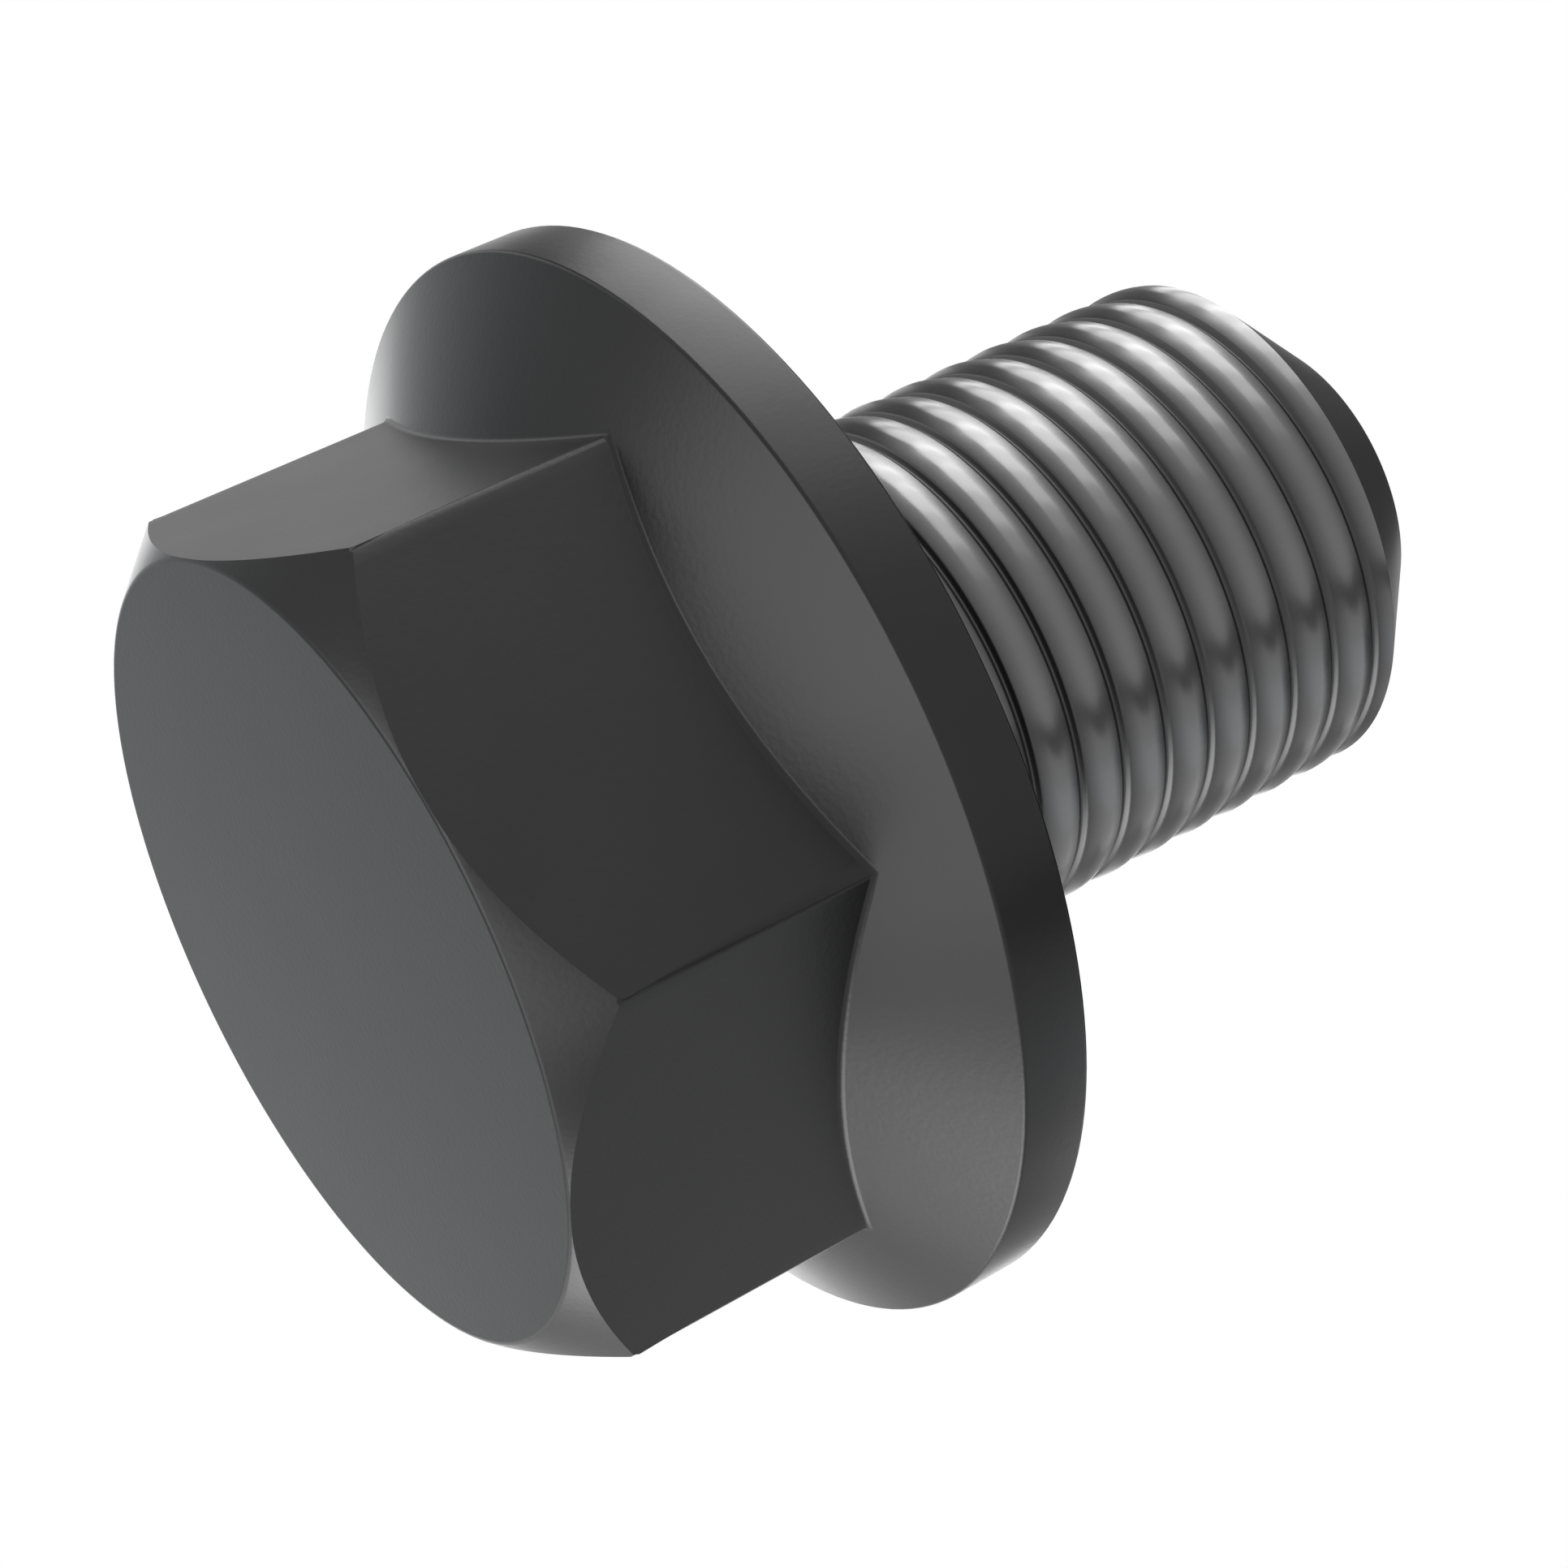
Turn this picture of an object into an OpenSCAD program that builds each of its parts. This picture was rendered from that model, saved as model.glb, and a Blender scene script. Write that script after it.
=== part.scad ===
// Hexagon flange screw, stubby, with a fine right-hand thread. It is one solid piece of steel.
// Frame: the head's outer face lies on Z = 0, the screw's axis is Z, and the thread points up.

/* [Head] */
// Width across the flats of the hexagon
across_flats = 15; // [13:0.1:17]
// Height of the head with its flange, from the outer face to the bearing face
head_h = 8.56; // [7.5:0.01:12]
// How far the circle of the 45 degree top chamfer lies inside the flats, on the outer face
chamfer_inset = 0.015; // [0:0.005:1]
// Radius of the rolled edge round the outer face
edge_r = 0.15; // [0.05:0.01:0.4]

/* [Flange] */
// Outer diameter of the flange
flange_d = 20.83; // [20:0.01:26]
// Height of the plain rim of the flange
rim_h = 1.35; // [0.8:0.01:2.2]
// Slope of the flange's cone, measured from the bearing face
flange_slope = 30; // [15:1:35]
// Radius of the two edges of the rim
rim_r = 0.1; // [0.05:0.01:0.3]

/* [Thread] */
// Major diameter of the thread
thread_d = 10; // [8:0.1:12]
// Pitch of the thread
pitch = 1; // [0.75:0.05:1.5]
// Length of the shank, from the bearing face to the end
shank_l = 13.6; // [8:0.1:40]
// Width of the 45 degree chamfer at the shank's end
tip_chamfer = 1.88; // [0.8:0.01:2.5]
// Radius of the fillet between the shank and the bearing face
neck_r = 0.4; // [0.1:0.05:0.6]
// Turns over which the groove runs out below the head
runout_turns = 1.5; // [0.5:0.25:2]
// Where the thread's crest meets the end chamfer, in degrees about the axis
start_angle = 102; // [0:1:359]
// Straight steps in one turn of the groove
turn_steps = 48; // [24:4:72]

/* [Hidden] */
steel = "#4b4d4f";
round_fn = 96;

// Head and flange
hex_r = across_flats / sqrt(3);
face_r = across_flats / 2 - chamfer_inset;
flange_r = flange_d / 2;
flange_z = head_h - rim_h;
// The flange's cone starts this far inside the flats, buried in the hexagon
cone_in = 1;
edge_steps = 4;
neck_steps = 6;

// Shank
major_r = thread_d / 2;
end_z = head_h + shank_l;
chamfer_z = end_z - tip_chamfer;

// Sixty degree thread form: sharp height, groove depth, and half the groove's width at its two ends
flank = 30;
sharp_h = pitch * sqrt(3) / 2;
groove_depth = sharp_h * 17 / 24;
root_r = major_r - groove_depth;
mouth_half = pitch * 7 / 16;
root_half = mouth_half - groove_depth * tan(flank);

// The cutter stands a little proud of the crest, where its neighbouring turns still stay apart
proud = 0.06 * pitch;
proud_half = mouth_half + proud * tan(flank);

// The groove starts clear above the end chamfer and has run out just above the neck's fillet
groove_top = chamfer_z + groove_depth + pitch;
groove_end = head_h + neck_r + proud_half;
steps = ceil((groove_top - groove_end) / pitch * turn_steps);

// Points of an arc about a centre, from one angle to another
function arc(centre, r, from, to, n) =
    [for (i = [0:n]) let (a = from + (to - from) * i / n) centre + r * [cos(a), sin(a)]];

// Height, angle and lift of the groove's cutter at step i, counted down from the end
function groove_z(i) = groove_top - i * pitch / turn_steps;
function groove_angle(i) = start_angle + 180 + (groove_z(i) - chamfer_z) * 360 / pitch;
function lift(i) =
    let (left = (groove_z(i) - groove_end) / (pitch * runout_turns))
    (groove_depth + proud) * (1 - min(left, 1));

// Four corners of the cutter at step i: root low, root high, mouth high, mouth low
function corner(i, r, half) =
    let (reach = r + lift(i))
    [reach * cos(groove_angle(i)), reach * sin(groove_angle(i)), groove_z(i) + half];
function section(i) = [
    corner(i, root_r, -root_half),
    corner(i, root_r, root_half),
    corner(i, major_r + proud, proud_half),
    corner(i, major_r + proud, -proud_half)
];

// Hexagon with its outer face turned to a 45 degree chamfer and a small rolled edge
module hexagon_head() {
    edge_centre = [face_r - edge_r * tan(22.5), edge_r];
    past = hex_r + 1;
    intersection() {
        cylinder(r = hex_r, h = head_h - rim_h / 2, $fn = 6);
        rotate_extrude($fn = round_fn)
            polygon(concat(
                [[0, 0]],
                arc(edge_centre, edge_r, -90, -45, edge_steps),
                [[past, past - face_r], [past, head_h], [0, head_h]]
            ));
    }
}

// Cone that spreads from the hexagon to a plain rim, with both edges of the rim rounded
module flange() {
    cone_r = across_flats / 2 - cone_in;
    cone_z = flange_z - (flange_r - cone_r) * tan(flange_slope);
    low_turn = 90 - flange_slope;
    low_centre = [flange_r - rim_r, flange_z + rim_r * tan(low_turn / 2)];
    high_centre = [flange_r - rim_r, head_h - rim_r];
    rotate_extrude($fn = round_fn)
        polygon(concat(
            [[0, cone_z], [cone_r, cone_z]],
            arc(low_centre, rim_r, -low_turn, 0, edge_steps),
            arc(high_centre, rim_r, 0, 90, edge_steps),
            [[0, head_h]]
        ));
}

// Plain shank at the major diameter, filleted to the bearing face and chamfered at its end
module shank() {
    rotate_extrude($fn = round_fn)
        polygon(concat(
            [[0, flange_z], [major_r + neck_r, flange_z]],
            arc([major_r + neck_r, head_h + neck_r], neck_r, 270, 180, neck_steps),
            [[major_r, chamfer_z], [major_r - tip_chamfer, end_z], [0, end_z]]
        ));
}

// Helical cutter: the section is carried down the shank, and leaves the steel at the run-out
module thread_groove() {
    points = [for (i = [0:steps]) each section(i)];
    sides = [for (i = [0:steps - 1], k = [0:3])
        let (a = 4 * i + k, b = 4 * i + (k + 1) % 4)
        each [[a, b, b + 4], [a, b + 4, a + 4]]];
    last = 4 * steps;
    ends = [[3, 2, 1, 0], [last, last + 1, last + 2, last + 3]];
    polyhedron(points, concat(sides, ends), convexity = 20);
}

module flange_screw() {
    color(steel)
        difference() {
            union() {
                hexagon_head();
                flange();
                shank();
            }
            thread_groove();
        }
}

flange_screw();
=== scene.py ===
"""Hexagon flange screw: one blackened forging with a bright rolled thread, dressed for its portrait.

The screw stands on its head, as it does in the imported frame: the head's outer face lies on Z = 0, the
axis is Z, and a corner of the hexagon lies on +X. Sizes in the classes are in millimetres.
"""

import logging
import math
from abc import ABC, abstractmethod
from dataclasses import dataclass, field
from enum import Enum

import bmesh
import bpy
from mathutils import Euler, Matrix, Quaternion, Vector


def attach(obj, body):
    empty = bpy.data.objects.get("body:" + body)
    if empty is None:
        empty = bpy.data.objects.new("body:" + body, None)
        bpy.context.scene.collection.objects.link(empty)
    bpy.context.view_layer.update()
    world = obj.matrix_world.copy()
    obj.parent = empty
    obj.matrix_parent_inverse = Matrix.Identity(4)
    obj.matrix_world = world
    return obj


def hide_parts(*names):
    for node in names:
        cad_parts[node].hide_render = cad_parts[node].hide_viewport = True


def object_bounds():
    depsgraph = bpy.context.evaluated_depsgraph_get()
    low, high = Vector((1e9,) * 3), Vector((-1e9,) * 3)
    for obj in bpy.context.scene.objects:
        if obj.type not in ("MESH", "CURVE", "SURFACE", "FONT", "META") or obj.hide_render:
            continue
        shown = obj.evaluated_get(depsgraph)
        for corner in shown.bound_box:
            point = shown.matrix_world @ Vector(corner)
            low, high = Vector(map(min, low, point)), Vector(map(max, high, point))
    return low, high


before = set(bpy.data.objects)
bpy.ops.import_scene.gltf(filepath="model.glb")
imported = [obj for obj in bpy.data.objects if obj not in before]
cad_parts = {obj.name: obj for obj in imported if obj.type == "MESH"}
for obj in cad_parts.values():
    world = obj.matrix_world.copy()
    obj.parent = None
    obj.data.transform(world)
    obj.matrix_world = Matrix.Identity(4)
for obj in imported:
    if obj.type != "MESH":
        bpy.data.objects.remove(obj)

CAD_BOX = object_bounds()
MM = 0.001
AXIS = Vector((0, 0, 1))
WHITE = (1.0, 1.0, 1.0, 1.0)

# Millimetres: the flange's radius and the height of the screw's end, both from the frame to the
# nearest micrometre, and the thread's radius
FLANGE_R = round(CAD_BOX[1].x / MM, 3)
END_Z = round(CAD_BOX[1].z / MM, 3)
THREAD_R = 5.0

# Gaps in millimetres below which a point lies on a cutting plane, on another point, or on a surface
CUT_GAP = 1e-5
WELD_GAP = 1e-4
NEAR = 1e-3

log = logging.getLogger("flange_screw")


class Zone(Enum):
    """Places on the screw that carry a finish of their own, as the index of the material slot."""

    FORGING = 0
    THREAD = 1


# Helpers for materials


def linear(colour: str) -> tuple[float, float, float, float]:
    """Turns an sRGB hex colour into linear red, green, blue and a full alpha.

    Args:
        colour: the colour as "#rrggbb".

    Returns:
        Four numbers, as a colour socket takes them.
    """
    parts = [int(colour[i : i + 2], 16) / 255 for i in (1, 3, 5)]
    # The transfer curve of sRGB: a short straight foot, and a power above it
    low = [p / 12.92 if p <= 0.04045 else ((p + 0.055) / 1.055) ** 2.4 for p in parts]
    return (*low, 1.0)


def add_node(
    tree: bpy.types.NodeTree, kind: str, inputs: dict | None = None, **settings: object
) -> bpy.types.Node:
    """Adds a node with its settings, and fills or links its input sockets.

    Args:
        tree: the tree that gets the node.
        kind: the node's type, such as "ShaderNodeMath".
        inputs: socket name or number to a value, or to an output socket that is linked to it.
        settings: attributes of the node.

    Returns:
        The new node.
    """
    node = tree.nodes.new(kind)
    for name, value in settings.items():
        setattr(node, name, value)
    for key, value in (inputs or {}).items():
        if isinstance(value, bpy.types.NodeSocket):
            tree.links.new(value, node.inputs[key])
        else:
            node.inputs[key].default_value = value
    return node


def new_material(name: str) -> tuple[bpy.types.Material, bpy.types.NodeTree, bpy.types.Node]:
    """Makes a material with one Principled shader.

    Args:
        name: the finish's name.

    Returns:
        The material, its node tree and the shader.
    """
    material = bpy.data.materials.new(name)
    material.use_nodes = True
    tree = material.node_tree
    return material, tree, tree.nodes["Principled BSDF"]


# Finishes


@dataclass(frozen=True)
class BlackOxide:
    """Black oxide on forged and blasted steel."""

    # To the eye it is near-black and satin, and its reflections are broad and soft. A blasted grain is
    # typically some 0.05 mm. The photograph shows none, and this one is drawn coarser so that it shows.
    colour: str = "#2f2f2f"
    colour_worn: str = "#333333"
    roughness: float = 0.31
    roughness_spread: float = 0.03
    cloud_mm: float = 3.0
    cloud_detail: float = 3.0
    grain_mm: float = 0.12
    grain_detail: float = 1.0
    grain_bump: float = 0.02

    def material(self) -> bpy.types.Material:
        """Builds the finish: a faint clouding of the oxide and the fine grain of the blasted forging.

        Returns:
            The material.
        """
        made, tree, shader = new_material("black_oxide_forged_steel")
        place = add_node(tree, "ShaderNodeTexCoord").outputs["Object"]
        cloud = add_node(
            tree,
            "ShaderNodeTexNoise",
            {"Vector": place, "Scale": 1 / (self.cloud_mm * MM), "Detail": self.cloud_detail},
        ).outputs["Fac"]
        tone = add_node(
            tree,
            "ShaderNodeMix",
            {"Factor": cloud, "A": linear(self.colour), "B": linear(self.colour_worn)},
            data_type="RGBA",
        )
        spread = self.roughness_spread
        rough = add_node(
            tree,
            "ShaderNodeMapRange",
            {"Value": cloud, "To Min": self.roughness - spread, "To Max": self.roughness + spread},
        )
        grain = add_node(
            tree,
            "ShaderNodeTexNoise",
            {"Vector": place, "Scale": 1 / (self.grain_mm * MM), "Detail": self.grain_detail},
        ).outputs["Fac"]
        bump = add_node(
            tree,
            "ShaderNodeBump",
            {"Height": grain, "Strength": self.grain_bump, "Distance": self.grain_mm * MM},
        )
        tree.links.new(tone.outputs["Result"], shader.inputs["Base Color"])
        tree.links.new(rough.outputs["Result"], shader.inputs["Roughness"])
        tree.links.new(bump.outputs["Normal"], shader.inputs["Normal"])
        shader.inputs["Metallic"].default_value = 1.0
        return made


@dataclass(frozen=True)
class RolledThread:
    """Cold-rolled steel of the thread, with painted shade in its groove.

    The radii of root, shoulder and crest are where the three colours hold. They blend in between. The
    darker colours at root and shoulder are painted shade, where the groove lies in shadow.
    """

    # To the eye the crests are brighter and glossier than the forging, with crisp gleams,
    # and the groove is a dull dark line, whose dark colour is painted shade
    colour: str = "#686868"
    # Painted shade: the shoulder and root colours darken the groove where shade falls
    shoulder_painted_shade: str = "#464646"
    root_painted_shade: str = "#444444"
    roughness: float = 0.2
    root_roughness: float = 0.4
    root_mm: float = 4.835
    shoulder_mm: float = 4.913
    crest_mm: float = THREAD_R
    streak_mm: float = 0.35
    streak_detail: float = 2.0
    streak_spread: float = 0.012

    def material(self) -> bpy.types.Material:
        """Builds the finish: bright crests, painted shade that darkens the groove by the radius, and
        faint rolling streaks.

        Returns:
            The material.
        """
        made, tree, shader = new_material("rolled_steel_thread")
        place = add_node(tree, "ShaderNodeTexCoord").outputs["Object"]
        apart = add_node(tree, "ShaderNodeSeparateXYZ", {"Vector": place}).outputs
        level = add_node(tree, "ShaderNodeCombineXYZ", {"X": apart["X"], "Y": apart["Y"]})
        radius = add_node(tree, "ShaderNodeVectorMath", {0: level.outputs["Vector"]}, operation="LENGTH")
        height = add_node(
            tree,
            "ShaderNodeMapRange",
            {
                "Value": radius.outputs["Value"],
                "From Min": self.root_mm * MM,
                "From Max": self.crest_mm * MM,
            },
        ).outputs["Result"]
        # Painted shade: the colour darkens from the crest down towards the groove's root
        tone = add_node(tree, "ShaderNodeValToRGB", {"Fac": height})
        stops = tone.color_ramp.elements
        stops[0].color, stops[1].color = linear(self.root_painted_shade), linear(self.colour)
        shoulder = stops.new((self.shoulder_mm - self.root_mm) / (self.crest_mm - self.root_mm))
        shoulder.color = linear(self.shoulder_painted_shade)
        streak = add_node(
            tree,
            "ShaderNodeTexNoise",
            {"Vector": place, "Scale": 1 / (self.streak_mm * MM), "Detail": self.streak_detail},
        ).outputs["Fac"]
        base = add_node(
            tree,
            "ShaderNodeMapRange",
            {"Value": height, "To Min": self.root_roughness, "To Max": self.roughness},
        ).outputs["Result"]
        drift = add_node(
            tree,
            "ShaderNodeMapRange",
            {"Value": streak, "To Min": -self.streak_spread, "To Max": self.streak_spread},
        ).outputs["Result"]
        rough = add_node(tree, "ShaderNodeMath", {0: base, 1: drift}, operation="ADD")
        tree.links.new(tone.outputs["Color"], shader.inputs["Base Color"])
        tree.links.new(rough.outputs["Value"], shader.inputs["Roughness"])
        shader.inputs["Metallic"].default_value = 1.0
        return made


# Helpers for meshes


def everything(bm: bmesh.types.BMesh) -> list:
    """All vertices, edges and faces of a mesh."""
    return bm.verts[:] + bm.edges[:] + bm.faces[:]


def radius_of(vert: bmesh.types.BMVert) -> float:
    """Distance of a vertex from the screw's axis."""
    return vert.co.xy.length


def draw_chain(
    bm: bmesh.types.BMesh, corners: list[tuple[float, float]]
) -> list[bmesh.types.BMVert]:
    """Joins a few corners in the XZ plane with edges, as the profile of a turned shape.

    Args:
        bm: the mesh that gets the profile.
        corners: radius and height of each corner.

    Returns:
        The vertices of the corners.
    """
    verts = [bm.verts.new((r, 0, z)) for r, z in corners]
    for pair in zip(verts, verts[1:]):
        bm.edges.new(pair)
    return verts


def round_off(
    bm: bmesh.types.BMesh, sharp: list, offset: float, steps: int, affect: str = "VERTICES"
) -> None:
    """Rounds corners of a profile, or edges of a shape.

    Args:
        bm: the mesh.
        sharp: the vertices or the edges that are rounded.
        offset: how far from them the rounding starts.
        steps: straight steps in the arc.
        affect: "VERTICES" or "EDGES".
    """
    bmesh.ops.bevel(
        bm,
        geom=sharp,
        offset=offset,
        offset_type="OFFSET",
        segments=steps,
        profile=0.5,
        affect=affect,
        clamp_overlap=False,
        material=-1,
    )


def spin(bm: bmesh.types.BMesh, angle: float, steps: int, **options: object) -> None:
    """Spins all of a mesh about the screw's axis.

    Args:
        bm: the mesh.
        angle: how far it is spun, in radians.
        steps: steps on the way.
        options: further settings of the spin.
    """
    bmesh.ops.spin(
        bm, geom=everything(bm), cent=(0, 0, 0), axis=AXIS, angle=angle, steps=steps, **options
    )


def weld(bm: bmesh.types.BMesh, gap: float = WELD_GAP) -> None:
    """Merges what lies on the same place, and turns all faces outwards.

    Args:
        bm: the mesh.
        gap: how close vertices have to be to become one. A tenth of it is too short for an edge.
    """
    bmesh.ops.remove_doubles(bm, verts=bm.verts[:], dist=gap)
    bmesh.ops.dissolve_degenerate(bm, edges=bm.edges[:], dist=gap / 10)
    bmesh.ops.recalc_face_normals(bm, faces=bm.faces[:])


def keep_mesh(bm: bmesh.types.BMesh, name: str) -> bpy.types.Mesh:
    """Writes a mesh out as mesh data, and frees it.

    Args:
        bm: the mesh.
        name: the data's name.

    Returns:
        The mesh data.
    """
    data = bpy.data.meshes.new(name)
    bm.to_mesh(data)
    bm.free()
    return data


def add_mesh(bm: bmesh.types.BMesh, data: bpy.types.Mesh) -> None:
    """Adds kept mesh data to a mesh, and removes the data."""
    bm.from_mesh(data)
    bpy.data.meshes.remove(data)


def to_object(bm: bmesh.types.BMesh, name: str) -> bpy.types.Object:
    """Turns a mesh into an object of the scene, and frees the mesh.

    Args:
        bm: the mesh, in the units that the object gets.
        name: the object's name.

    Returns:
        The object, at the origin.
    """
    made = bpy.data.objects.new(name, keep_mesh(bm, name))
    bpy.context.scene.collection.objects.link(made)
    return made


# Sub-assemblies


@dataclass
class Head:
    """Hexagon with a turned chamfer, and the cone and rim of the flange below it.

    The crown and the cone are drawn a little past the flat that cuts them, by their spares. An edge
    is rounded where it turns by more than corner_turn and lies within corner_band of the hexagon, as
    its foot on the cone, or as a corner that is longer than corner_least.
    """

    sides: int = 6
    across_flats: float = 15.0
    face_r: float = 7.485
    face_edge: float = 0.062
    crown_spare: float = 0.6
    height: float = 8.56
    flange_r: float = FLANGE_R
    rim_h: float = 1.35
    rim_front_edge: float = 0.058
    rim_back_edge: float = 0.1
    slope: float = math.radians(30)
    cone_spare: float = 0.9
    neck_r: float = 0.4
    neck_z: float = 9.05
    shank_r: float = THREAD_R
    corner_edge: float = 0.09
    corner_turn: float = math.radians(20)
    corner_band: float = 0.01
    corner_least: float = 1.0
    steps: int = 180
    arc_steps: int = 4
    neck_steps: int = 6
    corner_steps: int = 3

    @property
    def flat(self) -> float:
        """Distance of a flat from the axis."""
        return self.across_flats / 2

    @property
    def flat_normal(self) -> Vector:
        """Outward direction of the flat that one sixth of the head is made for."""
        middle = math.pi / self.sides
        return Vector((math.cos(middle), math.sin(middle), 0))

    @property
    def corner(self) -> float:
        """Distance of a corner of the hexagon from the axis."""
        return self.across_flats / math.sqrt(3)

    def cone_z(self, r: float) -> float:
        """Height of the flange's cone at a radius."""
        return self.height - self.rim_h - (self.flange_r - r) * math.tan(self.slope)

    def _sector(self, bm: bmesh.types.BMesh, keep_outside: bool) -> None:
        """Spins a profile over one flat of the hexagon and cuts it at the flat's plane.

        Args:
            bm: the mesh with nothing but the profile in it.
            keep_outside: whether the part outside the flat's plane stays, or the part inside.
        """
        spin(bm, math.tau / self.sides, self.steps // self.sides)
        bmesh.ops.bisect_plane(
            bm,
            geom=everything(bm),
            dist=CUT_GAP,
            plane_co=self.flat_normal * self.flat,
            plane_no=self.flat_normal,
            clear_inner=keep_outside,
            clear_outer=not keep_outside,
        )

    def _crown(self) -> bpy.types.Mesh:
        """Builds one sixth of the outer face and its chamfer, out to the flat.

        Returns:
            The mesh data.
        """
        bm = bmesh.new()
        past = self.corner + self.crown_spare
        corners = draw_chain(bm, [(0, 0), (self.face_r, 0), (past, past - self.face_r)])
        round_off(bm, [corners[1]], self.face_edge, self.arc_steps)
        self._sector(bm, keep_outside=False)
        return keep_mesh(bm, "crown")

    def _cone(self) -> bpy.types.Mesh:
        """Builds one sixth of the flange's cone, from the flat to the middle of the rim.

        Returns:
            The mesh data.
        """
        bm = bmesh.new()
        inner = self.flat - self.cone_spare
        corners = draw_chain(
            bm,
            [
                (inner, self.cone_z(inner)),
                (self.flange_r, self.height - self.rim_h),
                (self.flange_r, self.height - self.rim_h / 2),
            ],
        )
        round_off(bm, [corners[1]], self.rim_front_edge, self.arc_steps)
        self._sector(bm, keep_outside=True)
        return keep_mesh(bm, "cone")

    def _seat(self) -> bpy.types.Mesh:
        """Builds the back of the rim, the bearing face and the neck's fillet, all the way round.

        Returns:
            The mesh data.
        """
        bm = bmesh.new()
        corners = draw_chain(
            bm,
            [
                (self.flange_r, self.height - self.rim_h / 2),
                (self.flange_r, self.height),
                (self.shank_r, self.height),
                (self.shank_r, self.neck_z),
            ],
        )
        round_off(bm, [corners[1]], self.rim_back_edge, self.arc_steps)
        round_off(bm, [corners[2]], self.neck_r, self.neck_steps)
        spin(bm, math.tau, self.steps, use_merge=True)
        return keep_mesh(bm, "seat")

    def _on_flat(self, edge: bmesh.types.BMEdge) -> bool:
        """Whether both ends of an edge lie on the flat's plane."""
        return all(abs(v.co @ self.flat_normal - self.flat) < NEAR for v in edge.verts)

    def _is_sharp(self, edge: bmesh.types.BMEdge) -> bool:
        """Tells whether an edge is a corner of the hexagon or a part of its foot on the cone.

        Args:
            edge: the edge.

        Returns:
            Whether it gets a small rounding.
        """
        ends = [(radius_of(v), v.co.z) for v in edge.verts]
        least, most = self.flat - self.corner_band, self.corner + self.corner_band
        on_hexagon = all(least < r < most for r, _ in ends)
        foot = all(abs(z - self.cone_z(r)) < NEAR for r, z in ends)
        at_corner = all(abs(r - self.corner) < NEAR for r, _ in ends)
        upright = at_corner and abs(ends[0][1] - ends[1][1]) > self.corner_least
        return on_hexagon and (foot or upright) and edge.calc_face_angle(0) > self.corner_turn

    def build(self) -> bmesh.types.BMesh:
        """Builds the head as a shell that is open only at the top of the neck.

        Returns:
            The shell, in millimetres.
        """
        bm = bmesh.new()
        add_mesh(bm, self._crown())
        add_mesh(bm, self._cone())
        rims = [e for e in bm.edges if e.is_boundary and self._on_flat(e)]
        bmesh.ops.bridge_loops(bm, edges=rims)
        spin(bm, math.tau, self.sides, use_duplicate=True)
        add_mesh(bm, self._seat())
        weld(bm)
        sharp = [e for e in bm.edges if self._is_sharp(e)]
        round_off(bm, sharp, self.corner_edge, self.corner_steps, "EDGES")
        weld(bm)
        return bm


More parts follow.
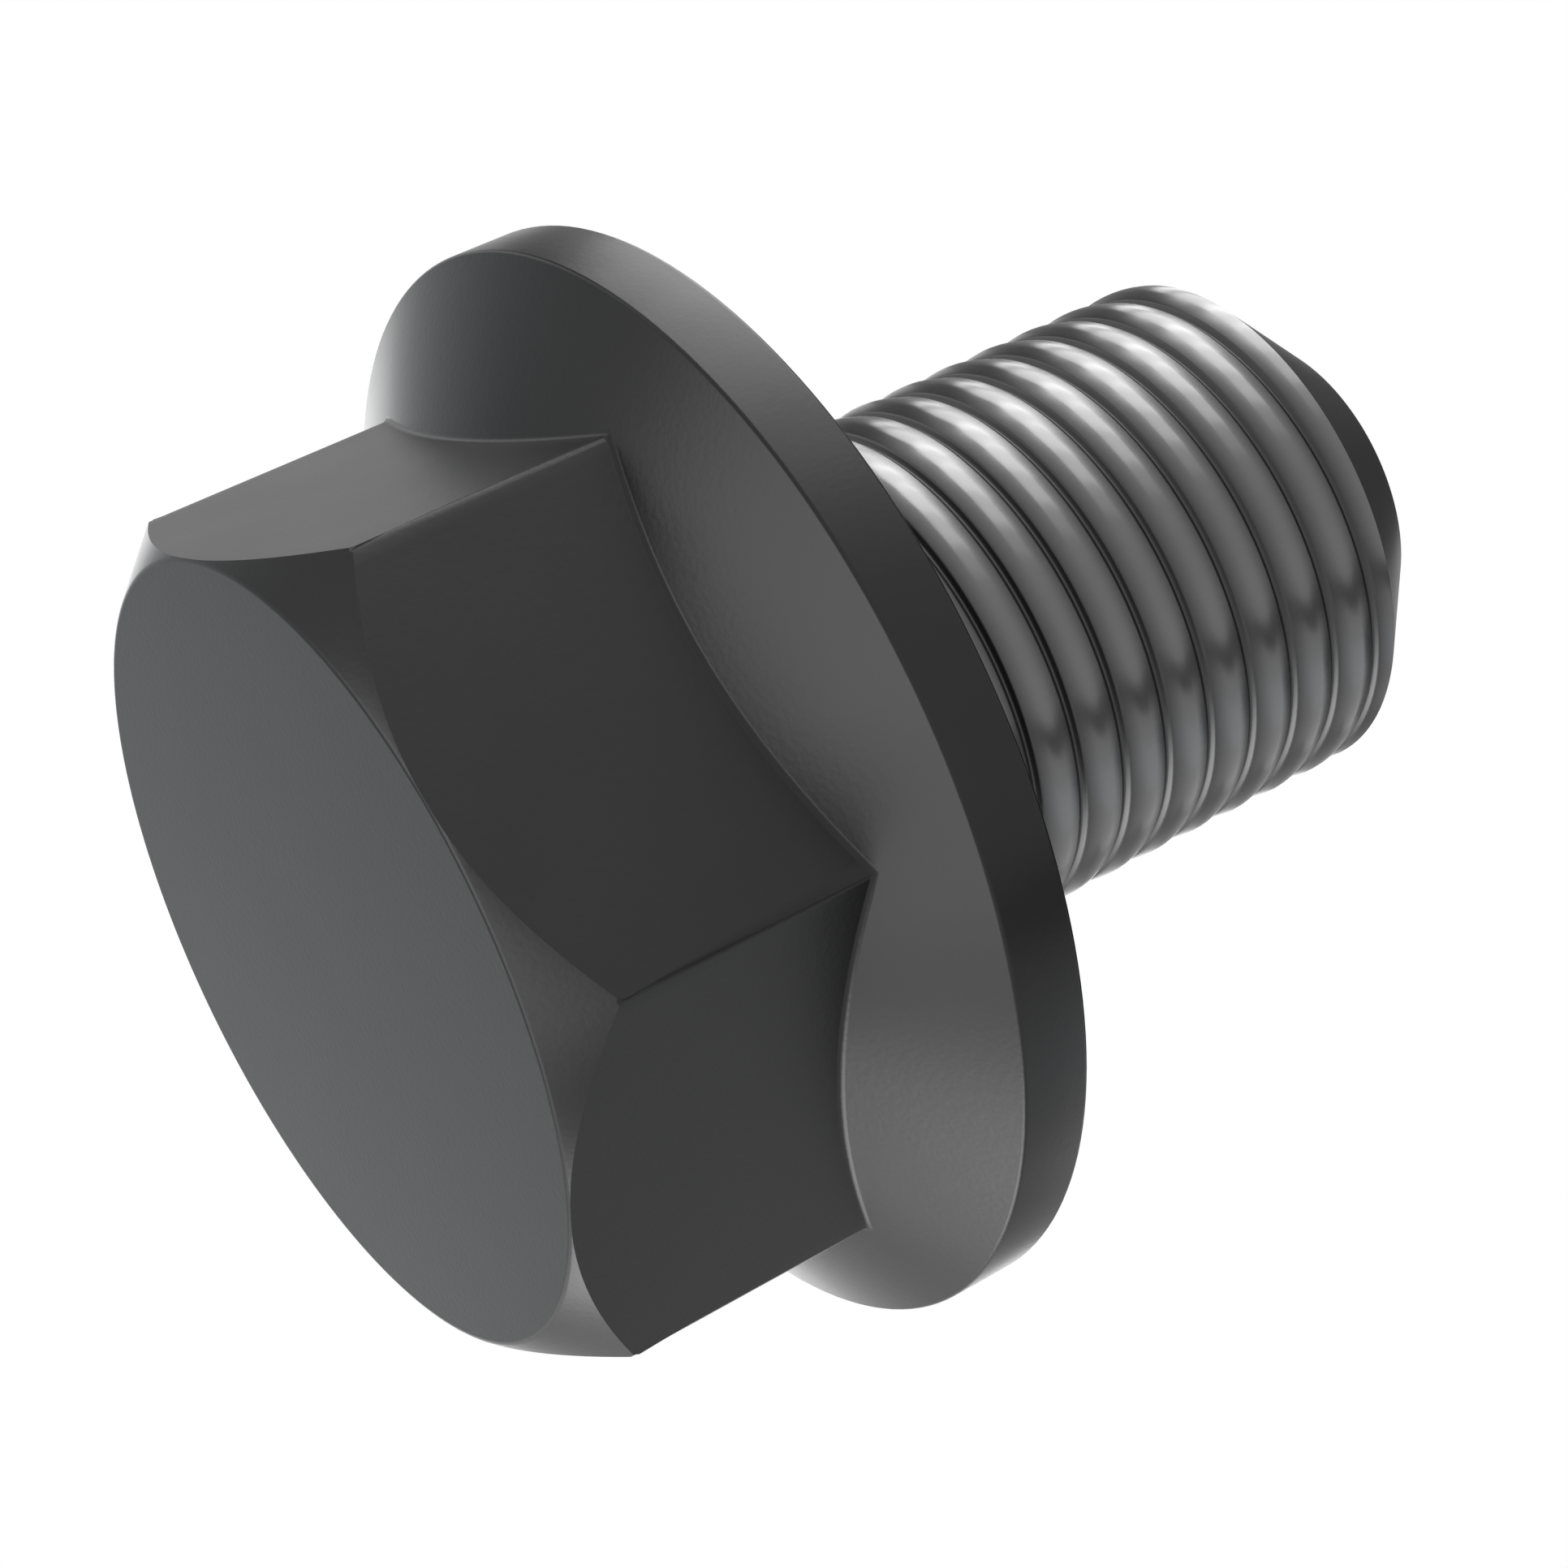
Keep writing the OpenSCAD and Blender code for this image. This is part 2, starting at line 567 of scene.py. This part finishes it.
@dataclass
class Thread:
    """Rolled right-hand thread that runs out below the head and through the end chamfer.

    Each crest is broad and falls away gently to its shoulders, and the groove between them is narrow.
    It meets the end chamfer at start_angle, and its groove is gone at runout_z. The blank that trims
    it stands clear of it by the spare.
    """

    pitch: float = 1.0
    major_r: float = THREAD_R
    neck_z: float = 9.12
    end_z: float = END_Z
    chamfer: float = 1.88
    start_angle: float = math.radians(102)
    crest_slope: float = math.radians(15)
    groove_flank: float = math.radians(49)
    groove_half: float = 0.095
    crest_round: float = 0.16
    shoulder_round: float = 0.035
    root_round: float = 0.055
    runout_z: float = 9.43
    runout_turns: float = 1.5
    spare: float = 0.3
    steps: int = 120
    blank_steps: int = 180
    crest_steps: int = 6
    shoulder_steps: int = 3
    root_steps: int = 4

    @property
    def chamfer_z(self) -> float:
        """Height where the end chamfer starts."""
        return self.end_z - self.chamfer

    def _section(self, bm: bmesh.types.BMesh) -> None:
        """Draws one pitch of the thread form, from root to root, with its crest at the major radius.

        Args:
            bm: the empty mesh that gets the profile.
        """
        # The crest meets the chamfer at start_angle, and is lower at the angle 0 of the section
        first = self.chamfer_z - self.start_angle / math.tau * self.pitch
        turns_down = math.ceil((first - self.neck_z) / self.pitch) + 1
        crest_z = first - turns_down * self.pitch
        shoulder = self.pitch / 2 - self.groove_half
        shoulder_r = self.major_r - shoulder * math.tan(self.crest_slope)
        root_r = shoulder_r - self.groove_half * math.tan(self.groove_flank)
        form = (
            (shoulder_r, -shoulder),
            (self.major_r, 0),
            (shoulder_r, shoulder),
            (root_r, self.pitch / 2),
        )
        # A pitch more on either side lets the arcs at both roots come out whole
        corners = draw_chain(
            bm, [(r, crest_z + k * self.pitch + up) for k in (-1, 0, 1) for r, up in form]
        )
        root_below, shoulder_below, crest, shoulder_above, root_above = corners[3:8]
        for corner in (root_below, root_above):
            round_off(bm, [corner], self.root_round, self.root_steps)
        for corner in (shoulder_below, shoulder_above):
            round_off(bm, [corner], self.shoulder_round, self.shoulder_steps)
        round_off(bm, [crest], self.crest_round, self.crest_steps)
        for side in (-1, 1):
            bmesh.ops.bisect_plane(
                bm,
                geom=everything(bm),
                dist=CUT_GAP,
                plane_co=AXIS * (crest_z + side * self.pitch / 2),
                plane_no=AXIS * side,
                clear_outer=True,
            )
        crest_r = max(radius_of(v) for v in bm.verts)
        bmesh.ops.translate(bm, verts=bm.verts[:], vec=(self.major_r - crest_r, 0, 0))

    def _stack(self, bm: bmesh.types.BMesh) -> None:
        """Carries the section up one turn of the helix, and stacks copies of the turn past the end.

        Args:
            bm: the mesh with nothing but the section in it.
        """
        low = min(v.co.z for v in bm.verts)
        spin(bm, math.tau, self.steps, dvec=AXIS * (self.pitch / self.steps))
        turn = everything(bm)
        for k in range(1, math.ceil((self.end_z - low) / self.pitch) + 1):
            copied = bmesh.ops.duplicate(bm, geom=turn)["geom"]
            verts = [g for g in copied if isinstance(g, bmesh.types.BMVert)]
            bmesh.ops.translate(bm, verts=verts, vec=AXIS * (self.pitch * k))
        bmesh.ops.remove_doubles(bm, verts=bm.verts[:], dist=NEAR)

    def _run_out(self, bm: bmesh.types.BMesh) -> None:
        """Lifts the groove out of the shank over its last turns below the head.

        Args:
            bm: the mesh with the whole helix.
        """
        depth = self.major_r - min(radius_of(v) for v in bm.verts)
        for vert in bm.verts:
            # The groove lies half a turn round from the crest, and the nearest one counts
            turn = (math.atan2(vert.co.y, vert.co.x) - self.start_angle - math.pi) / math.tau
            whole = round((vert.co.z - self.chamfer_z) / self.pitch - turn)
            groove_z = self.chamfer_z + (whole + turn) * self.pitch
            left = (groove_z - self.runout_z) / (self.pitch * self.runout_turns)
            r = radius_of(vert)
            lifted = r + depth * (1 - min(max(left, 0), 1))
            vert.co.xy *= min(self.major_r, lifted) / r

    def _close(self, bm: bmesh.types.BMesh) -> None:
        """Cuts the helix level at the neck and past the screw's end, and closes both cuts.

        Args:
            bm: the mesh with the whole helix.
        """
        for z, normal in ((self.neck_z, -AXIS), (self.end_z + self.spare, AXIS)):
            cut = bmesh.ops.bisect_plane(
                bm,
                geom=everything(bm),
                dist=CUT_GAP,
                plane_co=AXIS * z,
                plane_no=normal,
                clear_outer=True,
            )
            rim = [g for g in cut["geom_cut"] if isinstance(g, bmesh.types.BMEdge)]
            bmesh.ops.holes_fill(bm, edges=rim)
        bmesh.ops.remove_doubles(bm, verts=bm.verts[:], dist=WELD_GAP)
        bmesh.ops.recalc_face_normals(bm, faces=bm.faces[:])

    def _blank(self) -> bpy.types.Object:
        """Builds the turned blank with the end chamfer, which trims the helix.

        Returns:
            The blank's object, in millimetres.
        """
        bm = bmesh.new()
        wide = self.major_r + self.spare
        foot = self.neck_z - self.pitch
        draw_chain(
            bm,
            [
                (0, foot),
                (wide, foot),
                (wide, self.chamfer_z - self.spare),
                (self.major_r - self.chamfer, self.end_z),
                (0, self.end_z),
            ],
        )
        spin(bm, math.tau, self.blank_steps, use_merge=True)
        weld(bm)
        return to_object(bm, "thread_blank")

    def _trim(self, bm: bmesh.types.BMesh) -> bmesh.types.BMesh:
        """Trims the closed helix with the blank, and opens it again at the neck.

        Args:
            bm: the closed helix, which is used up.

        Returns:
            The trimmed shell.
        """
        rod, blank = to_object(bm, "thread_rod"), self._blank()
        trim = rod.modifiers.new("end_chamfer", "BOOLEAN")
        trim.operation, trim.solver, trim.object = "INTERSECT", "EXACT", blank
        seen = rod.evaluated_get(bpy.context.evaluated_depsgraph_get())
        shell = bmesh.new()
        shell.from_mesh(seen.to_mesh())
        seen.to_mesh_clear()
        for used in (rod, blank):
            data = used.data
            bpy.data.objects.remove(used)
            bpy.data.meshes.remove(data)
        floor = [f for f in shell.faces if all(abs(v.co.z - self.neck_z) < WELD_GAP for v in f.verts)]
        bmesh.ops.delete(shell, geom=floor, context="FACES")
        bmesh.ops.remove_doubles(shell, verts=shell.verts[:], dist=WELD_GAP)
        return shell

    def _mark(self, bm: bmesh.types.BMesh) -> None:
        """Gives the thread's own faces its finish, and leaves the chamfer and the end to the forging.

        Args:
            bm: the trimmed shell.
        """
        for face in bm.faces:
            middle = face.calc_center_median()
            chamfered = middle.xy.length + middle.z > self.major_r + self.chamfer_z - 2 * NEAR
            ended = middle.z > self.end_z - NEAR
            face.material_index = (Zone.FORGING if chamfered or ended else Zone.THREAD).value

    def build(self) -> bmesh.types.BMesh:
        """Builds the thread and the screw's end as a shell that is open only at the neck.

        Returns:
            The shell, in millimetres.
        """
        bm = bmesh.new()
        self._section(bm)
        self._stack(bm)
        self._run_out(bm)
        self._close(bm)
        shell = self._trim(bm)
        self._mark(shell)
        return shell


@dataclass
class FlangeScrew:
    """The whole screw: the forged head and the rolled thread, welded into one watertight piece."""

    head: Head = field(default_factory=Head)
    thread: Thread = field(default_factory=Thread)
    oxide: BlackOxide = field(default_factory=BlackOxide)
    bright: RolledThread = field(default_factory=RolledThread)
    node: str = "flange_screw"
    slot: str = "blackened_steel"
    smooth_below: float = math.radians(28)
    seam_gap: float = 2e-5

    def _shade(self, bm: bmesh.types.BMesh) -> None:
        """Smooths the faces, and keeps the sharp edges and the thread's end at the chamfer crisp.

        Args:
            bm: the whole screw, in millimetres.
        """
        for face in bm.faces:
            face.smooth = True
        tip_z = self.thread.chamfer_z - self.thread.pitch
        for edge in bm.edges:
            two_finishes = len({face.material_index for face in edge.link_faces}) > 1
            at_tip = two_finishes and edge.verts[0].co.z > tip_z
            edge.smooth = not at_tip and edge.calc_face_angle(0) < self.smooth_below

    def build(self) -> bpy.types.Object:
        """Joins head and thread at the neck and shades the result.

        Returns:
            The screw's object, at the origin, in metres.
        """
        shaft = keep_mesh(self.thread.build(), "shaft")
        bm = self.head.build()
        add_mesh(bm, shaft)
        bmesh.ops.bridge_loops(bm, edges=[e for e in bm.edges if e.is_boundary])
        weld(bm, self.seam_gap)
        self._shade(bm)
        bmesh.ops.scale(bm, verts=bm.verts[:], vec=(MM, MM, MM))
        loose = [e for e in bm.edges if not e.is_manifold]
        log.info("screw: %d faces, %d open edges", len(bm.faces), len(loose))
        made = to_object(bm, "screw")
        made.modifiers.new("weighted_normals", "WEIGHTED_NORMAL").keep_sharp = True
        return made

    def dress(self, made: bpy.types.Object) -> None:
        """Gives the screw its finishes and lets it stand for its CAD node.

        Args:
            made: the screw's object.
        """
        made.data.materials.append(self.oxide.material())
        made.data.materials.append(self.bright.material())
        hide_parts(self.node)
        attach(made, "root")


# Studio


@dataclass(frozen=True)
class Viewpoint:
    """Camera that was fitted to the photograph: it looks up at the head's outer face from one side."""

    place_mm: tuple[float, float, float] = (-15.1897, 69.7177, -24.9146)
    turn_degrees: tuple[float, float, float] = (-42.4778, -125.9608, -29.7974)
    lens: float = 98.889
    sensor: float = 36.0
    clip_m: tuple[float, float] = (0.001, 10.0)

    @property
    def turn(self) -> Matrix:
        """Turn whose columns are the picture's right, its up, and the way back to the viewer."""
        return Euler([math.radians(angle) for angle in self.turn_degrees]).to_matrix()

    def build(self) -> bpy.types.Object:
        """Makes the camera and hands it to the scene.

        Returns:
            The camera's object.
        """
        data = bpy.data.cameras.new("portrait_camera")
        data.lens, data.sensor_width, data.sensor_fit = self.lens, self.sensor, "AUTO"
        data.clip_start, data.clip_end = self.clip_m
        made = bpy.data.objects.new("portrait_camera", data)
        made.matrix_world = Matrix.Translation(Vector(self.place_mm) * MM) @ self.turn.to_4x4()
        bpy.context.scene.collection.objects.link(made)
        bpy.context.scene.camera = made
        return made

    def direction(self, azimuth: float, elevation: float) -> Vector:
        """Turns a direction in the picture's own upright frame into one of the scene.

        Args:
            azimuth: degrees to the right, from the direction of the viewer.
            elevation: degrees above the picture's horizon.

        Returns:
            The unit direction in the scene.
        """
        a, e = math.radians(azimuth), math.radians(elevation)
        return self.turn @ Vector((math.sin(a) * math.cos(e), math.sin(e), math.cos(a) * math.cos(e)))

    def panel_turn(self, out: Vector, roll: float) -> Quaternion:
        """Turns a panel so that its Z points away from the screw.

        Args:
            out: unit direction from the screw to the panel.
            roll: degrees that the panel's width is turned from the picture's horizon.

        Returns:
            The turn.
        """
        side = self.turn.col[1].cross(out).normalized()
        upright = Matrix((side, out.cross(side), out)).transposed().to_quaternion()
        return upright @ Quaternion(AXIS, math.radians(roll))


@dataclass(frozen=True)
class Panel(ABC):
    """Rectangle that faces the screw from a direction of the picture's own frame.

    Azimuth, elevation and roll are in degrees. Its width and height are the angles in degrees that it
    covers as seen from the screw. The camera doesn't see it, and only its reflection shows.
    """

    name: str
    azimuth: float
    elevation: float
    width: float
    height: float
    level: float
    roll: float = 0.0
    away_mm: float = 400.0

    @property
    def size(self) -> tuple[float, float]:
        """Width and height in metres."""
        across = 2 * self.away_mm * MM
        return tuple(across * math.tan(math.radians(a / 2)) for a in (self.width, self.height))

    def place(self, made: bpy.types.Object, view: Viewpoint, centre: Vector) -> None:
        """Puts the panel's object in its place, unseen by the camera.

        Args:
            made: the object.
            view: the picture's frame.
            centre: the point that the panel faces, in metres.
        """
        out = view.direction(self.azimuth, self.elevation)
        made.rotation_mode = "QUATERNION"
        made.rotation_quaternion = view.panel_turn(out, self.roll)
        made.location = centre + out * self.away_mm * MM
        made.visible_camera = False

    @abstractmethod
    def build(self, view: Viewpoint, centre: Vector) -> None:
        """Makes the panel in its place.

        Args:
            view: the picture's frame.
            centre: the point that the panel faces, in metres.
        """


@dataclass(frozen=True)
class Softbox(Panel):
    """Soft lamp, whose level is its radiance on top of the white surroundings."""

    colour: str = "#ffffff"

    def build(self, view: Viewpoint, centre: Vector) -> None:
        """Makes the lamp, as an area light.

        Args:
            view: the picture's frame.
            centre: the point that the lamp faces, in metres.
        """
        data = bpy.data.lights.new(self.name, "AREA")
        data.shape = "RECTANGLE"
        data.size, data.size_y = self.size
        data.color = linear(self.colour)[:3]
        data.energy = self.level * math.pi * data.size * data.size_y
        made = bpy.data.objects.new(self.name, data)
        bpy.context.scene.collection.objects.link(made)
        self.place(made, view, centre)


@dataclass(frozen=True)
class Flag(Panel):
    """Card that hides part of the white surroundings from the metal, down to its own level."""

    away_mm: float = 380.0
    colour: str = "#ffffff"

    def build(self, view: Viewpoint, centre: Vector) -> None:
        """Makes the card, as a stage mesh that sheds a dim even light.

        Args:
            view: the picture's frame.
            centre: the point that the card faces, in metres.
        """
        bm = bmesh.new()
        bmesh.ops.create_grid(bm, x_segments=1, y_segments=1, size=0.5)
        bmesh.ops.scale(bm, verts=bm.verts[:], vec=(*self.size, 1))
        made = to_object(bm, self.name)
        material = bpy.data.materials.new(f"matt_{self.name}")
        material.use_nodes = True
        tree = material.node_tree
        tree.nodes.clear()
        inputs = {"Color": linear(self.colour), "Strength": self.level}
        glow = add_node(tree, "ShaderNodeEmission", inputs)
        add_node(tree, "ShaderNodeOutputMaterial", {"Surface": glow.outputs["Emission"]})
        made.data.materials.append(material)
        made.visible_diffuse = False
        self.place(made, view, centre)


@dataclass
class Studio:
    """Pale floor, white surroundings, soft lamps and cards.

    Each panel stands where some surface of the screw mirrors it to the camera, and its name says on
    which side of the picture that is.
    """

    floor_colour: str = "#f2f2f2"
    floor_roughness: float = 0.9
    floor_m: float = 0.6
    floor_drop_mm: float = 0.02
    room_level: float = 0.8
    white_level: float = 1.0
    # Name, azimuth, elevation, width, height and level of each panel
    panels: tuple[Panel, ...] = (
        Softbox("back_upper_lamp", -177, 39, 32, 9, 2.115, roll=-133),
        Softbox("overhead_back_lamp", 179, 61, 40, 18, 2.805, roll=-133),
        Softbox("overhead_lamp", 166, 77, 46, 16, 3.784, roll=-116),
        Softbox("overhead_front_lamp", 80, 80, 46, 16, 3.573, roll=-28),
        Softbox("front_upper_lamp", 54, 65, 46, 16, 1.946, roll=2),
        Softbox("front_middle_lamp", 51, 50, 46, 14, 0.46, roll=8),
        Softbox("back_lamp", -169, -5, 44, 34, 1.45),
        Softbox("left_top", -105, 46, 50, 26, 0.552),
        Softbox("left_middle", -66, -8, 32, 34, 2.725),
        Softbox("left_low", -60, -36, 36, 26, 2.405),
        Softbox("low_left", -105, -54, 50, 26, 1.223),
        Softbox("underneath", -120, -78, 34, 30, 5.754),
        Softbox("right_low", 104, -34, 80, 18, 0.256, roll=48, colour="#dcecff"),
        Flag("right_strip_flag", 77, -18, 84, 11, 0.243, roll=29),
        Flag("right_back_low_flag", 155, -28, 50, 16, 0.5, roll=72),
        Flag("right_middle_flag", 57, 17, 70, 26, 0.956, roll=16),
        Flag("back_right_flag", 134, 12, 44, 56, 0.0),
        Flag("back_flag", 156.5, 14, 17, 18, 0.19, away_mm=375),
        Flag("back_strip_flag", -173.5, 31, 56, 13, 0.316, roll=-128),
        Flag("back_side_flag", -163, 20, 12, 14, 0.742, away_mm=385),
        Flag("back_left_flag", -126, -2, 50, 56, 0.79, colour="#f8fdff"),
        Flag("overhead_left_flag", -143, 49, 42, 18, 0.25, roll=-133),
        Flag("back_low_flag", -165, -42, 26, 20, 0.688),
    )

    def _floor(self) -> None:
        """Makes the floor, which is seen from above only and throws no reflection into the head.

        The camera looks up from below the floor's plane, so the floor's back lets it through.
        """
        bm = bmesh.new()
        bmesh.ops.create_grid(bm, x_segments=1, y_segments=1, size=self.floor_m / 2)
        bmesh.ops.translate(bm, verts=bm.verts[:], vec=(0, 0, -self.floor_drop_mm * MM))
        made = to_object(bm, "floor")
        # Matt painted board, which is an even pale ground with no gleam
        material, tree, shader = new_material("matt_pale_floor")
        shader.inputs["Base Color"].default_value = linear(self.floor_colour)
        shader.inputs["Roughness"].default_value = self.floor_roughness
        clear = add_node(tree, "ShaderNodeBsdfTransparent")
        side = add_node(tree, "ShaderNodeNewGeometry").outputs["Backfacing"]
        both = add_node(
            tree, "ShaderNodeMixShader", {0: side, 1: shader.outputs["BSDF"], 2: clear.outputs["BSDF"]}
        )
        tree.links.new(both.outputs["Shader"], tree.nodes["Material Output"].inputs["Surface"])
        made.data.materials.append(material)
        made.visible_diffuse = made.visible_glossy = False
        made.visible_transmission = made.visible_shadow = False

    def _room(self) -> None:
        """Makes the room: white where the camera and the metal see it, and a plain level for the rest."""
        world = bpy.data.worlds.new("white_room")
        bpy.context.scene.world = world
        world.use_nodes = True
        tree = world.node_tree
        tree.nodes.clear()
        path = add_node(tree, "ShaderNodeLightPath").outputs
        seen = path["Is Camera Ray"]
        for ray in ("Is Glossy Ray", "Is Transmission Ray"):
            either = add_node(tree, "ShaderNodeMath", {0: seen, 1: path[ray]}, operation="MAXIMUM")
            seen = either.outputs["Value"]
        plain, white = (
            add_node(tree, "ShaderNodeBackground", {"Color": WHITE, "Strength": level})
            for level in (self.room_level, self.white_level)
        )
        both = add_node(
            tree,
            "ShaderNodeMixShader",
            {0: seen, 1: plain.outputs["Background"], 2: white.outputs["Background"]},
        )
        add_node(tree, "ShaderNodeOutputWorld", {"Surface": both.outputs["Shader"]})

    def build(self, view: Viewpoint, centre: Vector) -> None:
        """Sets the floor, the surroundings and the panels.

        Args:
            view: the picture's frame.
            centre: the screw's middle, in metres.
        """
        self._floor()
        self._room()
        for panel in self.panels:
            panel.build(view, centre)


def main() -> None:
    """Builds the screw, its finishes, the studio and the camera, in that order."""
    logging.basicConfig(level=logging.INFO, format="%(name)s: %(message)s")
    bpy.context.scene.view_settings.view_transform = "Standard"
    screw = FlangeScrew()
    made = screw.build()
    screw.dress(made)
    log.info("dressed %s", made.name)
    view = Viewpoint()
    view.build()
    Studio().build(view, sum(CAD_BOX, Vector()) / 2)


if __name__ == "__main__":
    main()
